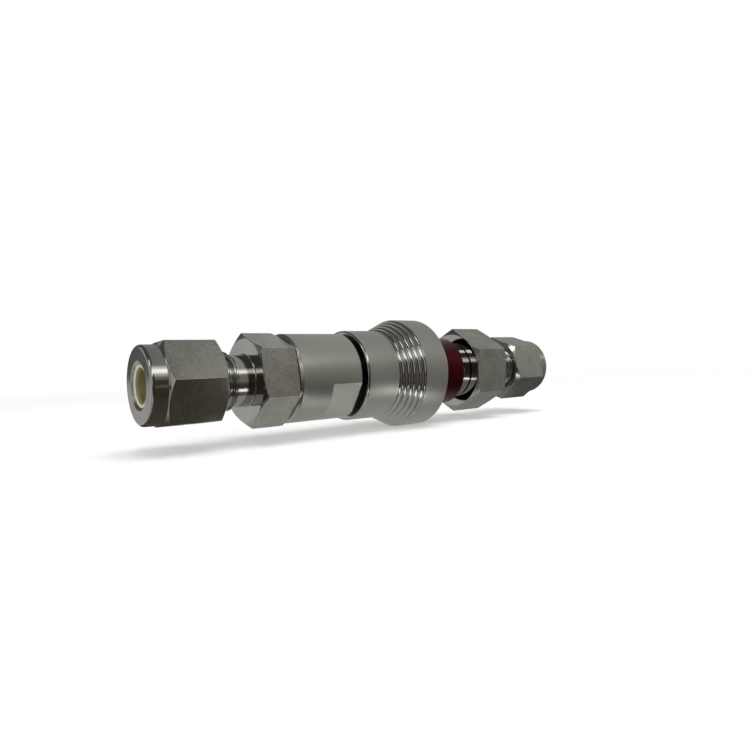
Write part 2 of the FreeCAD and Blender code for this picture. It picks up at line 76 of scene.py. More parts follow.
def sectionRows(path, turns):
    # a section is corners (station, radius, rounding, finish after it), runs (stations, radius function, finish) and
    # arcs (centre, radius, angles, finish); its rows are (station, radius) at every turn, with their tangents
    ends = []
    for part in path:
        if isinstance(part, dict):
            swing = part["angles"][[0, -1]]
            tips = part["centre"] + part["radius"] * np.stack([np.cos(swing), np.sin(swing)], -1)
            ends.append([tip[:, None] + 0 * turns for tip in tips])
            continue
        places = (part[0][0], part[0][-1]) if callable(part[1]) else (part[0], part[0])
        radii = [part[1](p, turns) if callable(part[1]) else part[1] for p in places]
        ends.append([np.stack([p + 0 * turns, r + 0 * turns]) for p, r in zip(places, radii)])
    rows, tangents, finishes = [], [], []
    for k, part in enumerate(path):
        before, after = ends[k - 1][1], ends[(k + 1) % len(path)][0]
        if isinstance(part, dict):
            swing = part["angles"][:, None, None]
            circle = np.concatenate([np.cos(swing), np.sin(swing)], axis=1)
            run = np.reshape(part["centre"], (1, 2, 1)) + part["radius"] * circle + 0 * turns
            lean = np.concatenate([-np.sin(swing), np.cos(swing)], axis=1) + 0 * turns
            rows.append(run)
            tangents.append(lean)
            finishes += [part["finish"]] * len(run)
            continue
        if callable(part[1]):
            stations = part[0][:, None]
            step = 1e-4
            slope = (part[1](stations + step, turns) - part[1](stations - step, turns)) / (2 * step)
            run = np.stack([stations + 0 * turns, part[1](stations, turns)], axis=1)
            lean = np.stack([1 + 0 * slope, slope], axis=1) * np.sign(part[0][-1] - part[0][0])
            lean /= np.linalg.norm(lean, axis=1, keepdims=True)
        elif part[2] is None:      # a single row beside a pole
            run = ends[k][0][None]
            lean = (unit(after - ends[k][0]) if k == 0 else unit(ends[k][0] - before))[None]
        else:
            run, lean = cornerRows(before, ends[k][0], after, part[2])
        rows.append(run)
        tangents.append(lean)
        inside = part[-1] if callable(part[1]) else polished
        finishes += [inside] * (len(run) - 1) + [part[-1]]
    return np.concatenate(rows), np.concatenate(tangents), finishes


def meshFrom(name, spots, normals, faces, finishes, materials):
    mesh = bpy.data.meshes.new(name)
    mesh.from_pydata((spots * mm).tolist(), [], faces)
    mesh.polygons.foreach_set("use_smooth", np.ones(len(faces), bool))
    mesh.polygons.foreach_set("material_index", np.asarray(finishes, np.int32))
    mesh.normals_split_custom_set_from_vertices(normals.tolist())
    for material in materials:
        mesh.materials.append(material)
    mesh.update()
    piece = bpy.data.objects.new(name, mesh)
    bpy.context.scene.collection.objects.link(piece)
    return piece


def around(station, radius, turns):
    # station along X; turn 0 is the front (-Y) and 90 degrees the top (+Z)
    return np.stack([station, -radius * np.cos(turns), radius * np.sin(turns)], axis=-1)


def gridFaces(count, size, rowGaps, columnGaps):
    # quads of count rows of size points; with as many gaps as points the grid closes on itself that way
    i, j = np.meshgrid(np.arange(rowGaps), np.arange(columnGaps), indexing="ij")
    here, below, beside = i * size, (i + 1) % count * size, (j + 1) % size
    return np.stack([here + j, below + j, below + beside, here + beside], -1).reshape(-1, 4)


def poleFaces(count, size):
    # triangles that close a grid's first and last rows, to the two points that follow its own
    column, beside = np.arange(size), (np.arange(size) + 1) % size
    tips, last = np.full(size, count * size), (count - 1) * size
    first = np.stack([tips, column, beside], -1)
    return np.concatenate([first, np.stack([last + column, tips + 1, last + beside], -1)])


def turnedPiece(name, section, turns, materials, fromStem=False, poles=False):
    # surface = around(station, radius, turn); normal = tangent of the section x derivative by the turn
    step = 1e-5
    rows, tangents, finishes = sectionRows(section(turns), turns)
    swing = sectionRows(section(turns + step), turns + step)[0] - sectionRows(section(turns - step), turns - step)[0]
    swing /= 2 * step
    spots = around(rows[:, 0], rows[:, 1], turns)
    along = around(tangents[:, 0], tangents[:, 1], turns)
    across = around(swing[:, 0], swing[:, 1], turns) + around(0 * rows[:, 0], rows[:, 1], turns + np.pi / 2)
    normals = np.cross(along, across)
    normals /= np.linalg.norm(normals, axis=-1, keepdims=True)
    count, size = len(rows), len(turns)
    gaps = count - 1 if poles else count
    faces = gridFaces(count, size, gaps, size).tolist()
    zones = np.repeat(finishes[:gaps], size).tolist()
    spots, normals = spots.reshape(-1, 3), normals.reshape(-1, 3)
    if poles:      # a point on the axis closes each end of the section
        faces += poleFaces(count, size).tolist()
        zones += [finishes[0]] * size + [finishes[-1]] * size
        ends = [0, (count - 1) * size]
        spots = np.concatenate([spots, spots[ends] * [1, 0, 0]])
        normals = np.concatenate([normals, normals[ends] * [1, 0, 0]])
    if fromStem:      # the stem's tube end is the same way out, turned round the vertical
        spots, normals = spots * [-1, -1, 1], normals * [-1, -1, 1]
        spots[:, 0] += midStation
    else:
        spots[:, 0] -= midStation
    return meshFrom(name, spots, normals, faces, zones, materials)


hexGrid = {"flat": 19, "corner": 7}
hexFace = {"drop": 0.1, "edge": 0.12}      # how far its round end face lies inside its flats, and an edge's rounding


def flatEnd(flats, edge):
    return np.arctan((flats / 2 - edge) * np.tan(np.pi / 6) / (flats / 2))


def hexTurns(flats, edge, middle):
    # turns of the grid: even over each flat, closer over each rounded corner, so both meet on a grid line
    rim = flatEnd(flats, edge)
    corner = np.linspace(rim, np.pi / 3 - rim, hexGrid["corner"])[1:-1]
    sector = np.concatenate([np.linspace(-rim, rim, hexGrid["flat"]), corner])
    return (np.radians(middle) + np.arange(6)[:, None] * np.pi / 3 + sector).ravel()


def hexRadius(turns, flats, edge, middle):
    # a / cos(angle) over a flat; at a corner the far side of a circle of radius edge, centred on the corner's line
    apothem = flats / 2
    off = np.abs((turns - np.radians(middle) + np.pi / 6) % (np.pi / 3) - np.pi / 6)
    lean = np.pi / 6 - off
    centre = (apothem - edge) / np.cos(np.pi / 6)
    corner = centre * np.cos(lean) + np.sqrt(np.maximum(edge ** 2 - (centre * np.sin(lean)) ** 2, 0))
    return np.where(off <= flatEnd(flats, edge), apothem / np.cos(off), corner)


def chamferLean(degrees):      # a hexagon's end is turned off at this angle to its face
    return np.tan(np.radians(degrees))


def put(tree, kind, values=None, **settings):
    # one node: settings are its properties, values its sockets, each a number, a colour or another node's socket
    node = tree.nodes.new(kind)
    for key, value in settings.items():
        setattr(node, key, value)
    for key, value in (values or {}).items():
        if isinstance(value, bpy.types.NodeSocket):
            tree.links.new(value, node.inputs[key])
        else:
            node.inputs[key].default_value = value
    return node


def startMaterial(name):
    material = bpy.data.materials.new(name)
    material.use_nodes = True
    tree = material.node_tree
    tree.nodes.clear()
    return material, tree, put(tree, "ShaderNodeTexCoord").outputs["Object"]


def endMaterial(tree, values):
    shader = put(tree, "ShaderNodeBsdfPrincipled", values)
    out = put(tree, "ShaderNodeOutputMaterial")
    tree.links.new(shader.outputs["BSDF"], out.inputs["Surface"])


def noise(tree, where, scale, detail=3, stretch=None):
    if stretch:
        where = put(tree, "ShaderNodeMapping", {"Vector": where, "Scale": stretch}).outputs["Vector"]
    return put(tree, "ShaderNodeTexNoise", {"Vector": where, "Scale": scale, "Detail": detail}).outputs["Fac"]


def axisPlace(tree, where):
    # station along the axis and distance from it
    split = put(tree, "ShaderNodeSeparateXYZ", {"Vector": where})
    flat = put(tree, "ShaderNodeCombineXYZ", {"Y": split.outputs["Y"], "Z": split.outputs["Z"]})
    radius = put(tree, "ShaderNodeVectorMath", {0: flat.outputs["Vector"]}, operation="LENGTH")
    return split.outputs["X"], radius.outputs["Value"]


def latheLine(tree, where):
    # station + distance from the axis: constant along a tool mark on a cylinder, a cone or an end face
    station, radius = axisPlace(tree, where)
    line = put(tree, "ShaderNodeMath", {0: station, 1: radius}, operation="ADD")
    return put(tree, "ShaderNodeCombineXYZ", {"X": line.outputs["Value"]}).outputs["Vector"]


def spread(tree, value, low, high, fromLow=noiseRange[0], fromHigh=noiseRange[1]):
    return put(tree, "ShaderNodeMapRange", {"Value": value, "From Min": fromLow, "From Max": fromHigh,
                                            "To Min": low, "To Max": high}).outputs["Result"]


def zoneBefore(tree, place, end, edge):
    return spread(tree, place, 1.0, 0.0, end - edge, end + edge)


def zoneAfter(tree, place, start, edge):
    return spread(tree, place, 0.0, 1.0, start - edge, start + edge)


def tint(tree, value, dark, light):
    ramp = put(tree, "ShaderNodeValToRGB", {"Fac": value})
    for element, place, colour in zip(ramp.color_ramp.elements, noiseRange, (dark, light)):
        element.position, element.color = place, (*colour, 1)
    return ramp.outputs["Color"]


def mixed(tree, share, first, second):      # 6, 7 and 2 are the node's sockets for colours
    return put(tree, "ShaderNodeMix", {"Factor": share, 6: first, 7: second}, data_type="RGBA").outputs[2]


def lift(tree, height, distance, under=None):
    values = {"Height": height, "Distance": distance, "Strength": 1.0}
    if under is not None:
        values["Normal"] = under
    return put(tree, "ShaderNodeBump", values).outputs["Normal"]


def shaded(tree, where, colour, zone, shade):
    # darkens a colour between two places along the axis: painted shade where a joint lies in shadow
    edge = 5e-6
    station = put(tree, "ShaderNodeSeparateXYZ", {"Vector": where}).outputs["X"]
    ends = {0: zoneAfter(tree, station, zone[0], edge), 1: zoneBefore(tree, station, zone[1], edge)}
    inside = put(tree, "ShaderNodeMath", ends, operation="MULTIPLY").outputs["Value"]
    return mixed(tree, inside, colour, (*shade, 1))


def turnedSteel(name, look):
    # steel off the lathe: fine and broad marks round the axis, faint clouds, gloss that changes with the marks
    material, tree, where = startMaterial(name)
    line = latheLine(tree, where)
    fine = noise(tree, line, look["fineMarks"])
    broad = noise(tree, line, look["broadMarks"], detail=2)
    cloud = noise(tree, where, look["clouds"])
    bump = lift(tree, broad, look["broadDepth"], lift(tree, fine, look["fineDepth"]))
    endMaterial(tree, {
        "Base Color": tint(tree, cloud, look["dark"], look["light"]),
        "Metallic": 1.0,
        "Roughness": spread(tree, fine, *look["gloss"]),
        "Anisotropic": look["brushed"],
        "Tangent": put(tree, "ShaderNodeTangent", direction_type="RADIAL", axis="X").outputs["Tangent"],
        "Normal": bump,
    })
    return material


def drawnSteel(name, look):
    # flats of drawn bar: streaks along the bar, a fine grain of bright and dull specks, faint clouds
    material, tree, where = startMaterial(name)
    streak = noise(tree, where, look["streaks"], detail=2, stretch=look["stretch"])
    grain = noise(tree, where, look["grain"])
    cloud = noise(tree, where, look["clouds"])
    speck = put(tree, "ShaderNodeMath", {0: grain, 1: cloud}, operation="ADD").outputs["Value"]
    share = spread(tree, speck, 0.0, 1.0, 2 * noiseRange[0], 2 * noiseRange[1])      # two noises added
    endMaterial(tree, {
        "Base Color": tint(tree, share, look["dark"], look["light"]),
        "Metallic": 1.0,
        "Roughness": spread(tree, grain, *look["gloss"]),
        "Normal": lift(tree, streak, look["streakDepth"]),
    })
    return material


polishedSteel = turnedSteel("polished_steel", {
    "dark": (0.38, 0.375, 0.345), "light": (0.46, 0.455, 0.425), "gloss": (0.10, 0.17), "brushed": 0.35,
    "fineMarks": 5200, "fineDepth": 0.6e-6, "broadMarks": 900, "broadDepth": 2.0e-6, "clouds": 180})
mirrorSteel = turnedSteel("mirror_steel", {
    "dark": (0.40, 0.395, 0.375), "light": (0.46, 0.455, 0.435), "gloss": (0.05, 0.09), "brushed": 0.2,
    "fineMarks": 5200, "fineDepth": 0.25e-6, "broadMarks": 900, "broadDepth": 0.6e-6, "clouds": 180})
# painted shade: a darker copy of the polished steel, for the nuts' end faces
facedShadeSteel = turnedSteel("faced_steel_shaded", {
    "dark": (0.26, 0.255, 0.235), "light": (0.31, 0.305, 0.285), "gloss": (0.10, 0.16), "brushed": 0.35,
    "fineMarks": 5200, "fineDepth": 0.5e-6, "broadMarks": 900, "broadDepth": 1.2e-6, "clouds": 180})
turnedSatin = turnedSteel("turned_satin", {
    "dark": (0.38, 0.38, 0.345), "light": (0.42, 0.42, 0.385), "gloss": (0.39, 0.44), "brushed": 0.3,
    "fineMarks": 4200, "fineDepth": 0.15e-6, "broadMarks": 700, "broadDepth": 0.3e-6, "clouds": 160})
drawnSatin = drawnSteel("drawn_satin", {
    "dark": (0.348, 0.343, 0.303), "light": (0.458, 0.453, 0.413), "gloss": (0.27, 0.32), "clouds": 220,
    "streaks": 2600, "stretch": (0.06, 1, 1), "streakDepth": 0.3e-6, "grain": 2200})
# painted shade: nearly black steel standing in for the shadow in the seam where the collar meets the hexagon
seamShadeSteel = turnedSteel("seam_painted_shade", {
    "dark": (0.010, 0.010, 0.010), "light": (0.016, 0.016, 0.015), "gloss": (0.45, 0.6), "brushed": 0.0,
    "fineMarks": 5200, "fineDepth": 0.25e-6, "broadMarks": 900, "broadDepth": 0.6e-6, "clouds": 180})
innerSteel = turnedSteel("inner_steel", {
    "dark": (0.42, 0.41, 0.39), "light": (0.50, 0.49, 0.47), "gloss": (0.18, 0.28), "brushed": 0.3,
    "fineMarks": 4600, "fineDepth": 1.0e-6, "broadMarks": 800, "broadDepth": 1.5e-6, "clouds": 200})


def springWire(name, look):
    # drawn wire: long faint die lines and a few duller patches
    material, tree, where = startMaterial(name)
    line = noise(tree, where, look["lines"], detail=2)
    patch = noise(tree, where, look["patches"])
    endMaterial(tree, {
        "Base Color": tint(tree, patch, look["dark"], look["light"]),
        "Metallic": 1.0,
        "Roughness": spread(tree, patch, *look["gloss"]),
        "Normal": lift(tree, line, look["depth"]),
    })
    return material


def housingSteel(name, look):
    # the housing by zones: turned satin, bright chamfer, milled flats, and painted shade, nearly black, on the land
    # where the sleeve slides
    material, tree, where = startMaterial(name)
    station, radius = axisPlace(tree, where)
    chamfer = zoneBefore(tree, station, look["chamferEnd"], look["zoneEdge"])
    # painted shade: the land the sleeve slides over is coloured nearly black as if in shadow
    slideShade = zoneAfter(tree, station, look["slideShadeStart"], look["zoneEdge"])
    milled = zoneBefore(tree, radius, look["flatRadius"], look["zoneEdge"])
    line = latheLine(tree, where)
    fine, broad = noise(tree, line, look["fineMarks"]), noise(tree, line, look["broadMarks"], detail=2)
    cloud = noise(tree, where, look["clouds"])
    cutter = noise(tree, where, look["cutter"], detail=2, stretch=look["cutterStretch"])
    marks = put(tree, "ShaderNodeMix", {"Factor": milled, "A": fine, "B": cutter}).outputs["Result"]
    gloss = put(tree, "ShaderNodeMix", {"Factor": chamfer, "A": spread(tree, marks, *look["gloss"]),
                                        "B": look["chamferGloss"]}).outputs["Result"]
    turned = tint(tree, cloud, look["dark"], look["light"])
    steel = mixed(tree, milled, turned, tint(tree, cutter, *look["freshCut"]))
    endMaterial(tree, {
        "Base Color": mixed(tree, slideShade, steel, (*look["slideShade"], 1)),
        "Metallic": 1.0,
        "Roughness": gloss,
        "Anisotropic": look["brushed"],
        "Tangent": put(tree, "ShaderNodeTangent", direction_type="RADIAL", axis="X").outputs["Tangent"],
        "Normal": lift(tree, broad, look["broadDepth"], lift(tree, marks, look["fineDepth"])),
    })
    return material


# housing steel; its nearly black colour past the sleeve's land start is painted shade
housingFinish = housingSteel("housing_satin", {
    "dark": (0.40, 0.40, 0.36), "light": (0.44, 0.44, 0.40), "slideShade": (0.012, 0.012, 0.013), "gloss": (0.33, 0.38),
    "chamferGloss": 0.25, "brushed": 0.4, "chamferEnd": atStation(27.05), "slideShadeStart": atStation(40.55),
    "flatRadius": 0.00872, "zoneEdge": 1e-5, "freshCut": ((0.46, 0.46, 0.42), (0.51, 0.51, 0.47)),
    "cutter": 5200, "cutterStretch": (1, 0.08, 0.08),
    "fineMarks": 4200, "fineDepth": 0.15e-6, "broadMarks": 700, "broadDepth": 0.3e-6, "clouds": 160})
wireSteel = springWire("spring_wire", {
    "dark": (0.36, 0.36, 0.37), "light": (0.46, 0.46, 0.47), "gloss": (0.2, 0.32), "lines": 5200, "patches": 420,
    "depth": 2.0e-6})
ballSteel = springWire("ball_polish", {
    "dark": (0.58, 0.58, 0.59), "light": (0.62, 0.62, 0.63), "gloss": (0.04, 0.08), "lines": 2600, "patches": 900,
    "depth": 0.2e-6})


def dyedRing(name, look):
    # dyed and sealed metal: tool marks show through the colour, paler where the dye took less
    material, tree, where = startMaterial(name)
    line = latheLine(tree, where)
    mark = noise(tree, line, look["marks"])
    cloud = noise(tree, where, look["clouds"])
    colour = tint(tree, cloud, look["dark"], look["light"])
    endMaterial(tree, {
        # painted shade: the ring's end at the joint is darkened as if in shadow
        "Base Color": shaded(tree, where, colour, look["joint"], look["jointShade"]),
        "Metallic": look["metal"],
        "Roughness": spread(tree, mark, *look["gloss"]),
        "Normal": lift(tree, mark, look["depth"]),
    })
    return material


# the ring's own dark red; its end at the joint gets painted shade
redRing = dyedRing("dyed_red", {
    "dark": (0.060, 0.0045, 0.006), "light": (0.085, 0.006, 0.008), "metal": 1.0, "gloss": (0.26, 0.36),
    "marks": 3600, "clouds": 300, "depth": 0.5e-6, "joint": (atStation(70.72), atStation(72.0)),
    "jointShade": (0.006, 0.001, 0.001)})


def endPlastic(tree, colour, skin, look):
    endMaterial(tree, {
        "Base Color": colour,
        "Roughness": spread(tree, skin, *look["gloss"]),
        "Subsurface Weight": look["milky"],
        "Subsurface Radius": look["depthOfLight"],
        "Subsurface Scale": look["lightScale"],
        "Normal": lift(tree, skin, look["depth"]),
    })


def softPlastic(name, look):
    # moulded plastic: milky, with a fine matt skin and slow changes of tone
    material, tree, where = startMaterial(name)
    skin = noise(tree, where, look["skin"])
    cloud = noise(tree, where, look["clouds"], detail=2)
    endPlastic(tree, tint(tree, cloud, look["dark"], look["light"]), skin, look)
    return material


def plugPlastic(name, look):
    # moulded cream plastic, darkened with depth in its recess by painted shade
    material, tree, where = startMaterial(name)
    skin = noise(tree, where, look["skin"])
    cloud = noise(tree, where, look["clouds"], detail=2)
    station, radius = axisPlace(tree, where)
    # painted shade: the colour turns from the cream rim to dark olive inside the recess, on its wall and floor
    share = spread(tree, station, *look["entry"])
    for place, zone in ((station, look["floor"]), (radius, look["wall"])):
        zones = {0: share, 1: spread(tree, place, *zone)}
        share = put(tree, "ShaderNodeMath", zones, operation="MULTIPLY").outputs["Value"]
    rim, recessShade = tint(tree, cloud, *look["rim"]), tint(tree, cloud, *look["recessShade"])
    endPlastic(tree, mixed(tree, share, rim, recessShade), skin, look)
    return material


# the rim colours are the plug's own cream; the dark olive deep colours are painted shade
creamPlastic = plugPlastic("cream_plastic", {
    "rim": ((0.72, 0.67, 0.52), (0.78, 0.73, 0.59)), "recessShade": ((0.19, 0.17, 0.075), (0.24, 0.22, 0.105)),
    "entry": (0.0, 1.0, atStation(0.36), atStation(0.52)), "floor": (1.0, 0.0, atStation(2.6), atStation(2.75)),
    "wall": (1.0, 0.0, 0.00312, 0.00318), "gloss": (0.42, 0.55), "milky": 0.1, "depthOfLight": (1.0, 0.85, 0.5),
    "lightScale": 0.0003, "skin": 3800, "clouds": 260, "depth": 6.0e-6})
blackRubber = softPlastic("black_rubber", {
    "dark": (0.014, 0.014, 0.014), "light": (0.026, 0.025, 0.025), "gloss": (0.45, 0.62), "milky": 0.0,
    "depthOfLight": (1.0, 1.0, 1.0), "lightScale": 0.0001, "skin": 5200, "clouds": 500, "depth": 6.0e-6})
print("finishes ready")

steelFinishes = [polishedSteel, drawnSatin, mirrorSteel, facedShadeSteel]


thread = {"pitch": 1.27, "crest": 5.5, "root": 4.85, "crestShare": 0.14, "flankEase": 0.35, "start": 6.9,
          "startRadius": 4.9, "end": 16.05, "runOut": 0.9, "fit": 0.06, "rowsPerPitch": 18}


def threadForm(station, turns):
    # right-hand thread: crest where station / pitch + turn is whole, flanks straight, corners eased
    phase = (station / thread["pitch"] + turns / (2 * np.pi)) % 1
    height = np.clip((np.abs(2 * phase - 1) - thread["crestShare"]) / (1 - 2 * thread["crestShare"]), 0, 1)
    height = height + thread["flankEase"] * (height * height * (3 - 2 * height) - height)
    return thread["root"] + (thread["crest"] - thread["root"]) * height


def outerThread(station, turns):
    # runs in on a chamfer at the mouth and runs out on a cone at the neck
    runIn = thread["startRadius"] + (station - thread["start"])
    runOut = thread["root"] + thread["runOut"] * (thread["end"] - station)
    return np.minimum(threadForm(station, turns), np.minimum(runIn, runOut))


def innerThread(station, turns):
    # the same helix with a little play, opened by the mouth's countersink and by the relief behind the thread
    sink = nut["threadMouth"] - (nut["length"] - station)
    relief = nut["reliefRadius"] - np.maximum(station - nut["reliefEnd"], 0)
    return np.maximum(threadForm(station, turns) + thread["fit"], np.maximum(sink, relief))


def threadRun(start, end, radius):
    steps = int(abs(end - start) / thread["pitch"] * thread["rowsPerPitch"])
    return (np.linspace(start, end, steps), radius, polished)


nut = {"length": 13.1, "flats": 14.29, "edge": 0.14, "collarRadius": 6.95, "collarLength": 2.75,
       "collarRound": 0.6, "collarFoot": 0.2, "chamfer": 30, "mouthRadius": 4.2, "mouthEdge": 0.06,
       "mouthChamfer": 0.95, "bore": 3.25, "backFace": 7.045, "cavity": 4.4, "seat": 3.3, "coneStart": 5.4,
       "reliefRadius": 5.56, "reliefStart": 6.56, "reliefEnd": 7.15, "threadMouth": 5.95, "threadInset": 0.06,
       "innerEdge": 0.04}


def nutSection(middle):
    def section(turns):
        hexagon = hexRadius(turns, nut["flats"], nut["edge"], middle)
        length, collar, end = nut["length"], nut["collarRadius"], nut["collarLength"]
        lean = chamferLean(nut["chamfer"])
        return [
            # the nut's end face takes the darker copy of the steel, painted shade
            (0.0, nut["mouthRadius"], nut["mouthEdge"], shadedFace),
            (0.0, collar, nut["collarRound"], polished),
            (end, collar, nut["collarFoot"], polished),
            (end + (hexagon - collar) * lean, hexagon, hexFace["edge"], satin),
            (length - (hexagon - nut["backFace"]) * lean, hexagon, eased, polished),
            (length, nut["backFace"], crisp, polished),
            (length, nut["threadMouth"], nut["innerEdge"], polished),
            threadRun(length - nut["threadInset"], nut["reliefStart"], innerThread),
            (nut["coneStart"], nut["cavity"], eased, polished),
            (nut["seat"], nut["cavity"], eased, polished),
            (nut["seat"], nut["bore"], crisp, polished),
            (nut["mouthChamfer"], nut["bore"], nut["innerEdge"], satin),
        ]
    return section


tubeEnd = {"edge": 0.14, "chamfer": 20, "hexStart": 19.25, "neckRound": 0.25, "mouthRadius": 4.15, "socket": 3.25,
           "socketStart": 9.6, "socketEnd": 15.8, "bore": 2.4, "endChamfer": 0.3, "threadLead": 0.02,
           "threadTail": 0.1}
bodyEnd = {**tubeEnd, "flats": 15.88, "middle": 10.2, "hexEnd": 26.6, "chamber": 4.4, "chamberStart": 26.7,
           "spigot": 6.8, "spigotThread": (27.7, 30.6), "spigotLead": 0.3, "relief": 6.5, "sealLand": 6.3,
           "sealGroove": (31.0, 32.18, 5.17), "end": 33.0}


def tubeMouth(turns, look):
    # from the socket's mouth over the thread to the neck, up the hexagon's polished face and over it to its far face
    face = look["flats"] / 2 - hexFace["drop"]
    hexagon = hexRadius(turns, look["flats"], look["edge"], look["middle"])
    lean = chamferLean(look["chamfer"])
    return [
        (thread["start"], look["mouthRadius"], crisp, polished),
        threadRun(thread["start"] + look["threadLead"], thread["end"] - look["threadTail"], outerThread),
        (thread["end"], thread["root"], crisp, polished),
        (look["hexStart"], thread["root"], look["neckRound"], mirror),
        (look["hexStart"], face, crisp, polished),
        (look["hexStart"] + (hexagon - face) * lean, hexagon, hexFace["edge"], satin),
        (look["hexEnd"] - (hexagon - face) * lean, hexagon, eased, polished),
        (look["hexEnd"], face, crisp, mirror),
    ]


def tubeSocket(look):
    return [
        (look["socketEnd"], look["bore"], crisp, polished),
        (look["socketEnd"], look["socket"], crisp, polished),
        (look["socketStart"], look["socket"], broken, polished),
    ]


def bodyEndSection(turns):
    look = bodyEnd
    first, last = look["spigotThread"]
    start, end, bottom = look["sealGroove"]
    return tubeMouth(turns, look) + [
        (look["hexEnd"], look["relief"], eased, polished),
        (first - look["spigotLead"], look["relief"], crisp, polished),
        (first, look["spigot"], crisp, polished),
        (last, look["spigot"], crisp, polished),
        (last, look["sealLand"], crisp, polished),
        (start, look["sealLand"], crisp, polished),
        (start, bottom, broken, polished),
        (end, bottom, broken, polished),
        (end, look["sealLand"], crisp, polished),
        (look["end"] - look["endChamfer"], look["sealLand"], crisp, polished),
        (look["end"], look["sealLand"] - look["endChamfer"], crisp, polished),
        (look["end"], look["chamber"], crisp, polished),
        (look["chamberStart"], look["chamber"], eased, polished),
        (look["chamberStart"], look["bore"], broken, polished),
    ] + tubeSocket(look)


stemEnd = {**tubeEnd, "flats": 17.46, "middle": 1.6, "hexEnd": 29.25, "spigot": 4.65, "end": 40.9}


def stemEndSection(turns):
    look = stemEnd
    return tubeMouth(turns, look) + [
        (look["hexEnd"], look["spigot"], eased, polished),
        (look["end"] - look["endChamfer"], look["spigot"], crisp, polished),
        (look["end"], look["spigot"] - look["endChamfer"], crisp, polished),
        (look["end"], look["bore"], crisp, polished),
    ] + tubeSocket(look)


def settle(piece, body, slotName, *nodeNames):
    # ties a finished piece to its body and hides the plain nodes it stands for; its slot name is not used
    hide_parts(*nodeNames)
    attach(piece, body)
    print("made", piece.name, len(piece.data.polygons), "faces")


bodyNutMiddle, stemNutMiddle = -23.7, -10.6      # turn of a flat's middle, each seen from its own tube end
for name, middle, node, fromStem in (("bodyNut", bodyNutMiddle, "body_nut", False),
                                     ("stemNut", stemNutMiddle, "stem_nut", True)):
    turns = hexTurns(nut["flats"], nut["edge"], middle)
    piece = turnedPiece(name, nutSection(middle), turns, steelFinishes, fromStem)
    settle(piece, node, "satin_steel", node)
for name, section, look, body, node, fromStem in (
        ("bodyTubeEnd", bodyEndSection, bodyEnd, "body", "body_end", False),
        ("stemTubeEnd", stemEndSection, stemEnd, "stem", "stem_end", True)):
    turns = hexTurns(look["flats"], look["edge"], look["middle"])
    piece = turnedPiece(name, section, turns, steelFinishes, fromStem)
    settle(piece, body, "satin_steel", node)


sleeve = {"start": 41.65, "end": 61.5, "radius": 9.4, "edgeRound": 0.45, "gripStart": 49.6, "flangeStart": 55.1,
          "flange": 11.85, "flangeRound": 0.3, "grooves": 5, "grooveRadius": 0.56, "grooveDepth": 0.36,
          "grooveRows": 15, "crestRound": 0.02, "rimEdge": 0.06, "frontBore": 8.708, "frontEdge": 0.12,
          "frontStep": 59.55, "relief": 8.108, "land": 7.548, "landRange": (51.75, 54.4), "skirt": 8.05,
          "turns": 216}


def sleeveSection(turns):
    look = sleeve
    start = np.array([look["gripStart"], look["radius"]])
    end = np.array([look["flangeStart"], look["flange"]])
    along = unit(end - start)
    outward = np.array([-along[1], along[0]])
    lift = look["grooveRadius"] - look["grooveDepth"]
    half = np.sqrt(look["grooveRadius"] ** 2 - lift ** 2)
    reach = np.arctan2(half, lift)
    deepest = np.arctan2(-outward[1], -outward[0])
    grip = []
    for k in range(look["grooves"]):      # scallops along the cone's line, with a narrow crest after each
        middle = start + (k + 0.5) / look["grooves"] * (end - start)
        grip.append({"centre": middle + lift * outward, "radius": look["grooveRadius"], "finish": mirror,
                     "angles": deepest + np.linspace(-reach, reach, look["grooveRows"])})
        if k < look["grooves"] - 1:
            grip.append((*(start + (k + 1) / look["grooves"] * (end - start)), look["crestRound"], mirror))
    first, last = look["landRange"]
    return [
        (look["start"], look["skirt"], look["rimEdge"], mirror),
        (look["start"], look["radius"], look["edgeRound"], satin),
        (look["gripStart"], look["radius"], broken, polished),
        *grip,
        (look["flangeStart"], look["flange"], look["rimEdge"], satin),
        (look["end"], look["flange"], look["flangeRound"], mirror),
        (look["end"], look["frontBore"], look["frontEdge"], polished),
        (look["frontStep"], look["frontBore"], crisp, polished),
        (look["frontStep"], look["relief"], crisp, polished),
        (last + look["relief"] - look["land"], look["relief"], crisp, polished),
        (last, look["land"], crisp, polished),
        (first, look["land"], crisp, polished),
        (first, look["skirt"], crisp, polished),
    ]


roundTurns = np.linspace(0, 2 * np.pi, sleeve["turns"], endpoint=False)
piece = turnedPiece("lockSleeve", sleeveSection, roundTurns, [polishedSteel, turnedSatin, mirrorSteel])
settle(piece, "sleeve", "turned_steel", "sleeve")


stemBody = {"nose": 41.0, "noseChamfer": 0.6, "radius": 5.0, "seat": 2.4, "seatStart": 42.3, "chamber": 3.6,
            "ballGroove": {"station": 54.35, "centre": 5.999, "radius": 1.449, "lip": 0.02, "rows": 15},
            "shoulder": 62.05, "shoulderRound": 0.2, "collar": 6.5, "collarChamfer": 0.2, "end": 74.45, "seam": 0.3,
            "seamEdge": 0.04, "pocket": 5.6, "pocketStart": 72.75, "threadBore": 4.7, "threadStart": 62.75}
seam = 1      # the slot of the painted shade, nearly black, in the seam where the collar meets the hexagon; the satin's slot on this piece
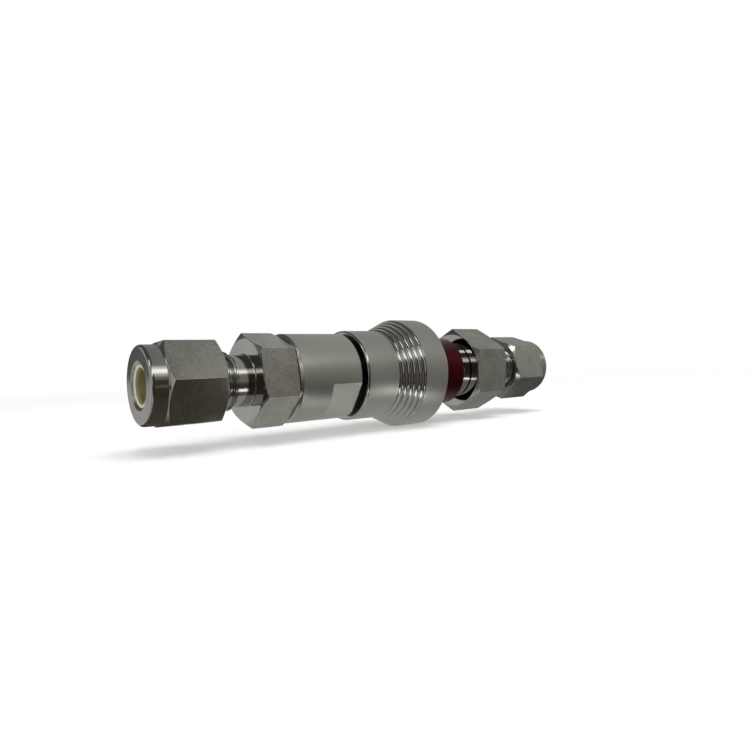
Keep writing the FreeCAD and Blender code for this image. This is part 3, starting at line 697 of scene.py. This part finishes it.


def stemBodySection(turns):
    look = stemBody
    ball = look["ballGroove"]
    half = np.sqrt(ball["radius"] ** 2 - (ball["centre"] - look["radius"]) ** 2)
    reach = np.arctan2(half, ball["centre"] - look["radius"])
    return [
        (look["nose"], look["seat"], crisp, polished),
        (look["nose"], look["radius"] - look["noseChamfer"], eased, polished),
        (look["nose"] + look["noseChamfer"], look["radius"], eased, polished),
        (ball["station"] - half - ball["lip"], look["radius"], ball["lip"], polished),
        {"centre": np.array([ball["station"], ball["centre"]]), "radius": ball["radius"], "finish": polished,
         "angles": -np.pi / 2 + np.linspace(-reach, reach, ball["rows"])},
        (ball["station"] + half + ball["lip"], look["radius"], ball["lip"], polished),
        (look["shoulder"], look["radius"], look["shoulderRound"], polished),
        (look["shoulder"], look["collar"] - look["collarChamfer"], crisp, polished),
        (look["shoulder"] + look["collarChamfer"], look["collar"], crisp, mirror),
        # the seam's chamfer takes the painted shade
        (look["end"] - look["seam"], look["collar"], look["seamEdge"], seam),
        (look["end"], look["collar"] - look["seam"], look["seamEdge"], polished),
        (look["end"], look["pocket"], crisp, polished),
        (look["pocketStart"], look["pocket"], crisp, polished),
        (look["pocketStart"], look["threadBore"], crisp, polished),
        (look["threadStart"], look["threadBore"], crisp, polished),
        (look["threadStart"], look["chamber"], crisp, polished),
        (look["seatStart"] + look["chamber"] - look["seat"], look["chamber"], crisp, polished),
        (look["seatStart"], look["seat"], crisp, polished),
    ]


piece = turnedPiece("stemBarrel", stemBodySection, roundTurns, [innerSteel, seamShadeSteel, mirrorSteel])
settle(piece, "stem", "turned_steel", "stem_body")


plug = {"sink": 0.35, "lip": 3.8, "lipEdge": 0.06, "recess": 3.3, "inner": 2.8, "innerRound": 0.15, "depth": 2.4,
        "depthRound": 0.3, "floor": 3.0, "floorRound": 0.25, "shank": 3.2, "seatEnd": 0.95, "turns": 96, "hub": 0.12}
cream = 0      # the plug's one finish


def plugSection(turns):
    look = plug
    return [
        (look["depth"], look["hub"], None, cream),
        (look["depth"], look["inner"], look["depthRound"], cream),
        (look["sink"] + look["recess"] - look["inner"], look["inner"], look["innerRound"], cream),
        (look["sink"], look["recess"], eased, cream),
        (look["sink"], look["lip"], look["lipEdge"], cream),
        (look["seatEnd"], look["shank"], broken, cream),
        (look["floor"], look["shank"], look["floorRound"], cream),
        (look["floor"], look["hub"], None, cream),
    ]


plugTurns = np.linspace(0, 2 * np.pi, plug["turns"], endpoint=False)
piece = turnedPiece("mouthPlug", plugSection, plugTurns, [creamPlastic], poles=True)
settle(piece, "plug", "plug_plastic", "port_plug")


springs = {
    "sleeveSpring": {"node": "sleeve_spring", "bodies": ("body", "sleeve"), "from": 45.6, "to": 51.7, "mean": 7.475,
                     "wire": 0.8, "turns": 4},
    "bodyValveSpring": {"node": "body_valve_spring", "bodies": ("body", "body_valve"), "from": 28.25, "to": 35.0,
                        "mean": 3.4, "wire": 0.7, "turns": 5},
    "stemValveSpring": {"node": "stem_valve_spring", "bodies": ("stem", "stem_valve"), "from": 61.2, "to": 46.44,
                        "mean": 2.6, "wire": 0.6, "turns": 8},
}
springGrid = {"perTurn": 56, "ring": 16, "tipAngles": (75.0, 50.0, 25.0)}


def springSurface(look):
    # centre line (x, R sin t, -R cos t) with x rising evenly; round it a circle of the wire's radius in the plane of
    # the outward direction and the binormal, drawn in to a point over the last rows
    low, high = sorted((look["from"] - midStation, look["to"] - midStation))
    half = look["wire"] / 2
    steps = look["turns"] * springGrid["perTurn"] + 1
    angle = np.linspace(0, 2 * np.pi * look["turns"], steps)
    rise = (high - low - look["wire"]) / angle[-1]
    zero = 0 * angle
    line = np.stack([low + half + rise * angle, look["mean"] * np.sin(angle), -look["mean"] * np.cos(angle)], -1)
    ahead = np.stack([zero + rise, look["mean"] * np.cos(angle), look["mean"] * np.sin(angle)], -1)
    ahead /= np.linalg.norm(ahead, axis=-1, keepdims=True)
    outward = np.stack([zero, np.sin(angle), -np.cos(angle)], -1)
    upward = np.cross(ahead, outward)
    swing = np.linspace(0, 2 * np.pi, springGrid["ring"], endpoint=False)
    side = outward[:, None] * np.cos(swing)[:, None] + upward[:, None] * np.sin(swing)[:, None]
    tips = np.radians(springGrid["tipAngles"])
    head = [np.cos(t) * side[0] - np.sin(t) * ahead[0] for t in tips]
    tail = [np.cos(t) * side[-1] + np.sin(t) * ahead[-1] for t in tips[::-1]]
    normals = np.concatenate([head, side, tail])
    centres = np.concatenate([[line[0]] * len(tips), line, [line[-1]] * len(tips)])
    spots = centres[:, None] + half * normals
    ends = np.stack([line[0] - half * ahead[0], line[-1] + half * ahead[-1]])
    return spots, normals, ends, np.stack([-ahead[0], ahead[-1]])


for name, look in springs.items():
    spots, normals, ends, endNormals = springSurface(look)
    count, size = spots.shape[:2]
    faces = gridFaces(count, size, count - 1, size)[:, [0, 3, 2, 1]].tolist()      # the other way round, to face out
    faces += poleFaces(count, size)[:, [0, 2, 1]].tolist()
    spots = np.concatenate([spots.reshape(-1, 3), ends])
    normals = np.concatenate([normals.reshape(-1, 3), endNormals])
    piece = meshFrom(name, spots, normals, faces, np.zeros(len(faces)), [wireSteel])
    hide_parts(look["node"])
    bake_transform(piece)
    print("made", name, len(faces), "faces")


keptFinishes = {
    "housing": housingFinish, "coding_ring": redRing, "snap_ring": wireSteel,
    **{f"locking_ball_{k}": ballSteel for k in range(1, 7)}, "stem_seal": blackRubber}
for side in ("body", "stem"):
    for inside in ("valve", "valve_guide", "back_ferrule", "front_ferrule"):
        keptFinishes[f"{side}_{inside}"] = innerSteel
    for ring in ("joint_seal", "valve_seal"):
        keptFinishes[f"{side}_{ring}"] = blackRubber
for nodeName, material in keptFinishes.items():
    for slot in nodes[nodeName].material_slots:
        slot.material = material
print("finished", len(keptFinishes), "kept nodes")


stage = {"floor": -11.85, "floorSize": 4000.0, "nearEdge": 120.0, "farEdge": 420.0, "floorTone": 0.8, "glow": 0.3}


def strip(name, corners, material):
    # a grid of points as a sheet of the room: the floor, or a card
    mesh = bpy.data.meshes.new(name)
    rows, columns = corners.shape[:2]
    faces = gridFaces(rows, columns, rows - 1, columns - 1)
    mesh.from_pydata((corners.reshape(-1, 3) * mm).tolist(), [], faces.tolist())
    mesh.materials.append(material)
    card = bpy.data.objects.new(name, mesh)
    bpy.context.scene.collection.objects.link(card)
    return card


def cardLight(name, tones):
    # tones are (x in mm, colour) along the card
    material, tree, where = startMaterial(name)
    split = put(tree, "ShaderNodeSeparateXYZ", {"Vector": where})
    low, high = tones[0][0] * mm, tones[-1][0] * mm
    ramp = put(tree, "ShaderNodeValToRGB", {"Fac": spread(tree, split.outputs["X"], 0.0, 1.0, low, high)})
    places = [(x * mm - low) / (high - low) for x, colour in tones]
    for place in places[1:-1]:
        ramp.color_ramp.elements.new(place)
    for element, (x, colour) in zip(ramp.color_ramp.elements, tones):
        element.color = (*colour, 1)
    light = put(tree, "ShaderNodeEmission", {"Color": ramp.outputs["Color"], "Strength": 1.0})
    out = put(tree, "ShaderNodeOutputMaterial")
    tree.links.new(light.outputs["Emission"], out.inputs["Surface"])
    return material


cardSteps = {"strip": 40, "disc": 33, "hub": 0.001}
cards = {      # seen by reflections only
    "frontCard": {"turns": (-1, 31), "away": 600, "tones": (
        (-900, (0.06, 0.05, 0.04)), (185, (0.06, 0.05, 0.04)), (250, (0.30, 0.29, 0.275)), (620, (0.30, 0.30, 0.285)),
        (2600, (0.5, 0.5, 0.48)))},
    "collarGlow": {"turns": (25, 31), "away": 598, "tones": ((90, (0.65, 0.65, 0.60)), (200, (0.65, 0.65, 0.60)))},
    "collarFade": {"turns": (16, 25), "away": 598, "tones": ((90, (0.25, 0.24, 0.20)), (200, (0.25, 0.24, 0.20)))},
    "upperStrip": {"turns": (35, 46), "away": 620, "tones": ((-900, (2.1, 2.1, 2.05)), (305, (2.1, 2.1, 2.05)))},
    "upperFill": {"turns": (31, 54), "away": 630, "tones": (
        (305, (0.56, 0.56, 0.55)), (430, (0.60, 0.60, 0.59)), (950, (0.45, 0.45, 0.44)))},
    "farStrip": {"turns": (35, 46), "away": 620, "tones": ((950, (2.1, 2.1, 2.05)), (2600, (2.1, 2.1, 2.05)))},
    "overheadCard": {"turns": (54, 150), "away": 640, "tones": (
        (-900, (0.08, 0.08, 0.08)), (0, (0.12, 0.12, 0.12)), (190, (0.35, 0.35, 0.34)), (320, (0.50, 0.50, 0.49)),
        (430, (0.56, 0.56, 0.55)), (560, (0.54, 0.54, 0.53)), (760, (0.36, 0.36, 0.35)), (2600, (0.32, 0.32, 0.31)))},
    "backCard": {"turns": (150, 181), "away": 640, "tones": (
        (-900, (0.60, 0.60, 0.59)), (-320, (0.60, 0.60, 0.59)), (-285, (0.30, 0.30, 0.30)),
        (-250, (0.12, 0.12, 0.125)), (0, (0.14, 0.14, 0.14)), (300, (0.42, 0.42, 0.41)),
        (2600, (0.45, 0.45, 0.44)))},
    "backMat": {"y": (-24, 640), "over": 0.01, "tones": (
        (-900, (0.70, 0.70, 0.69)), (-60, (0.62, 0.62, 0.61)), (2600, (0.52, 0.52, 0.51)))},
    "underMat": {"y": (-8, 20), "over": 0.02, "tones": (
        (-130, (0.5, 0.5, 0.49)), (-62, (0.5, 0.5, 0.49)), (-55, (0.08, 0.07, 0.06)), (-41.5, (0.09, 0.08, 0.07)),
        (-38.5, (0.60, 0.60, 0.59)), (-34, (0.46, 0.46, 0.45)), (-20, (0.46, 0.46, 0.45)), (-10, (0.52, 0.52, 0.51)),
        (14, (0.52, 0.52, 0.51)), (26, (0.34, 0.34, 0.33)), (40, (0.28, 0.28, 0.27)), (50, (0.12, 0.12, 0.115)),
        (120, (0.12, 0.12, 0.115)))},
    "lowMat": {"y": (-19.5, -8), "over": 0.02, "tones": (
        (-130, (0.5, 0.5, 0.49)), (-62, (0.5, 0.5, 0.49)), (-55, (0.08, 0.07, 0.06)), (-31, (0.08, 0.07, 0.06)),
        (-24, (0.44, 0.44, 0.43)), (-18, (0.66, 0.66, 0.65)), (-9, (0.62, 0.62, 0.61)), (-2, (0.42, 0.42, 0.41)),
        (17, (0.42, 0.42, 0.41)), (23, (0.12, 0.12, 0.115)), (60, (0.12, 0.12, 0.115)), (120, (0.3, 0.3, 0.29)))},
    "lowerStrip": {"y": (-19.5, -14), "over": 0.03, "tones": (
        (-60, (0.08, 0.07, 0.06)), (-30, (0.08, 0.07, 0.06)), (-28.5, (2.4, 2.4, 2.35)), (-20.5, (2.4, 2.4, 2.35)),
        (-17.5, (0.16, 0.16, 0.155)), (-7, (0.16, 0.16, 0.155)), (-3, (0.75, 0.75, 0.74)), (15, (0.75, 0.75, 0.74)),
        (18, (0.3, 0.3, 0.29)), (26, (0.12, 0.12, 0.115)), (48, (0.12, 0.12, 0.115)), (90, (0.3, 0.3, 0.29)))},
    "gripMat": {"y": (-18.3, -15.3), "over": 0.035, "tones": ((-4, (1.7, 1.7, 1.67)), (14, (1.5, 1.5, 1.47)))},
    "spotMat": {"y": (-21, -15.5), "over": 0.04, "tones": ((5.2, (4.4, 4.4, 4.3)), (8.3, (4.4, 4.4, 4.3)))},
    "frontMat": {"y": (-640, -19.5), "over": 0.02, "tones": (
        (-900, (0.05, 0.042, 0.035)), (-20, (0.06, 0.05, 0.04)), (30, (0.24, 0.23, 0.22)),
        (2600, (0.40, 0.40, 0.39)))},
    "leftCard": {"side": (-640, 640), "top": 640, "tones": ((-900, (0.5, 0.5, 0.49)), (2600, (0.5, 0.5, 0.49)))},
    "roundLamp": {"toward": (-0.77, -0.05, 0.63), "away": 630, "radius": 80, "tones": (
        (-900, (3.0, 3.0, 2.95)), (2600, (3.0, 3.0, 2.95)))},
}


def cardGrid(look):
    ends = (look["tones"][0][0], look["tones"][-1][0])
    if "turns" in look:      # a long strip bent round the axis
        turns = np.radians(np.linspace(*look["turns"], cardSteps["strip"]))
        station = np.array(ends)[:, None] + 0 * turns
        return around(station, look["away"] + 0 * station, turns)
    if "y" in look:      # a mat on the floor
        return np.array([[[x, y, stage["floor"] + look["over"]] for y in look["y"]] for x in ends])
    if "side" in look:      # a wall across the axis
        return np.array([[[ends[0], y, z] for y in look["side"]] for z in (stage["floor"], look["top"])])
    toward = unit(np.array(look["toward"]))      # a disc facing the fitting
    right = unit(np.cross(toward, (0, 0, 1)))
    swing = np.linspace(0, 2 * np.pi, cardSteps["disc"])[:, None]
    rim = look["radius"] * (right * np.cos(swing) + np.cross(right, toward) * np.sin(swing))
    return toward * look["away"] + np.stack([cardSteps["hub"] * rim, rim])


for name, look in cards.items():
    card = strip(name, cardGrid(look), cardLight(name, look["tones"]))
    card.visible_camera = card.visible_shadow = card.visible_diffuse = False


def seenWhite(tree):
    # 1 for camera, glossy and transmission rays
    path = put(tree, "ShaderNodeLightPath")
    total = put(tree, "ShaderNodeMath", {0: path.outputs["Is Camera Ray"], 1: path.outputs["Is Glossy Ray"]},
                operation="ADD", use_clamp=True)
    return put(tree, "ShaderNodeMath", {0: total.outputs["Value"], 1: path.outputs["Is Transmission Ray"]},
               operation="ADD", use_clamp=True).outputs["Value"]


def floorMaterial(look):
    # pale floor that takes the shadow near the fitting and is plain white further off
    material, tree, where = startMaterial("pale_floor")
    seen = seenWhite(tree)
    reach = put(tree, "ShaderNodeVectorMath", {0: where}, operation="LENGTH").outputs["Value"]
    share = put(tree, "ShaderNodeMapRange", {"Value": reach, "From Min": look["nearEdge"] * mm,
                                             "From Max": look["farEdge"] * mm}, interpolation_type="SMOOTHSTEP")
    tone = look["floorTone"]
    paper = put(tree, "ShaderNodeBsdfDiffuse", {"Color": (tone, tone, tone, 1)})
    glow = put(tree, "ShaderNodeEmission", {"Strength": put(tree, "ShaderNodeMath", {0: seen, 1: look["glow"]},
                                                            operation="MULTIPLY").outputs["Value"]})
    near = put(tree, "ShaderNodeAddShader", {0: paper.outputs["BSDF"], 1: glow.outputs["Emission"]})
    far = put(tree, "ShaderNodeEmission", {"Strength": seen})
    mix = put(tree, "ShaderNodeMixShader", {"Fac": share.outputs["Result"], 1: near.outputs["Shader"],
                                            2: far.outputs["Emission"]})
    out = put(tree, "ShaderNodeOutputMaterial")
    tree.links.new(mix.outputs["Shader"], out.inputs["Surface"])
    return material


edges = (-stage["floorSize"], stage["floorSize"])
floorCorners = np.array([[[x, y, stage["floor"]] for y in edges] for x in edges])
strip("floor", floorCorners, floorMaterial(stage))


def stand(thing, right, up, back, place):
    thing.matrix_world = Matrix(np.stack([right, up, back, place], axis=1).tolist() + [[0, 0, 0, 1]])
    bpy.context.scene.collection.objects.link(thing)


lamps = {
    "overheadLamp": {"place": (60, -120, 520), "size": 420, "power": 1.5},
    "frontLamp": {"place": (-260, -520, 260), "size": 360, "power": 0.9},
}
for name, look in lamps.items():
    light = bpy.data.lights.new(name, "AREA")
    light.shape = "DISK"
    light.size = look["size"] * mm
    light.energy = look["power"]
    lamp = bpy.data.objects.new(name, light)
    place = np.array(look["place"]) * mm
    back = unit(place)      # it shines on the origin
    right = unit(np.cross((0, 0, 1), back))
    stand(lamp, right, np.cross(back, right), back, place)
    lamp.visible_glossy = False

room = {"fill": 0.5}
world = bpy.data.worlds.new("studio")
world.use_nodes = True
tree = world.node_tree
tree.nodes.clear()
level = put(tree, "ShaderNodeMapRange", {"Value": seenWhite(tree), "To Min": room["fill"], "To Max": 1.0})
sky = put(tree, "ShaderNodeBackground", {"Color": (1, 1, 1, 1), "Strength": level.outputs["Result"]})
tree.links.new(sky.outputs["Background"], put(tree, "ShaderNodeOutputWorld").inputs["Surface"])
bpy.context.scene.world = world
bpy.context.scene.view_settings.view_transform = "Standard"

camera = {"station": -30.5649, "away": 102.3504, "yaw": 0.670181, "pitch": -0.001767, "roll": -0.051351,
          "rise": 1.5, "focalPixels": 593.884, "framePixels": 750, "sensor": 36.0, "near": 0.004, "far": 20.0}
yaw, pitch, roll, rise = camera["yaw"], camera["pitch"], camera["roll"], np.radians(camera["rise"])
ahead = np.array([np.sin(yaw) * np.cos(pitch), np.cos(yaw) * np.cos(pitch), np.sin(pitch)])
right = unit(np.cross(ahead, [0, 0, 1]))
up = np.cross(right, ahead)
right, up = right * np.cos(roll) + up * np.sin(roll), up * np.cos(roll) - right * np.sin(roll)
tilt = np.array([[1, 0, 0], [0, np.cos(rise), np.sin(rise)], [0, -np.sin(rise), np.cos(rise)]])
spot = tilt @ np.array([camera["station"] - midStation, -camera["away"], 0]) * mm
eye = bpy.data.cameras.new("photoEye")
eye.sensor_width = camera["sensor"]
eye.lens = camera["focalPixels"] / camera["framePixels"] * camera["sensor"]
eye.clip_start, eye.clip_end = camera["near"], camera["far"]
cameraObject = bpy.data.objects.new("photoEye", eye)
stand(cameraObject, tilt @ right, tilt @ up, -(tilt @ ahead), spot)
bpy.context.scene.camera = cameraObject
print("stage set")
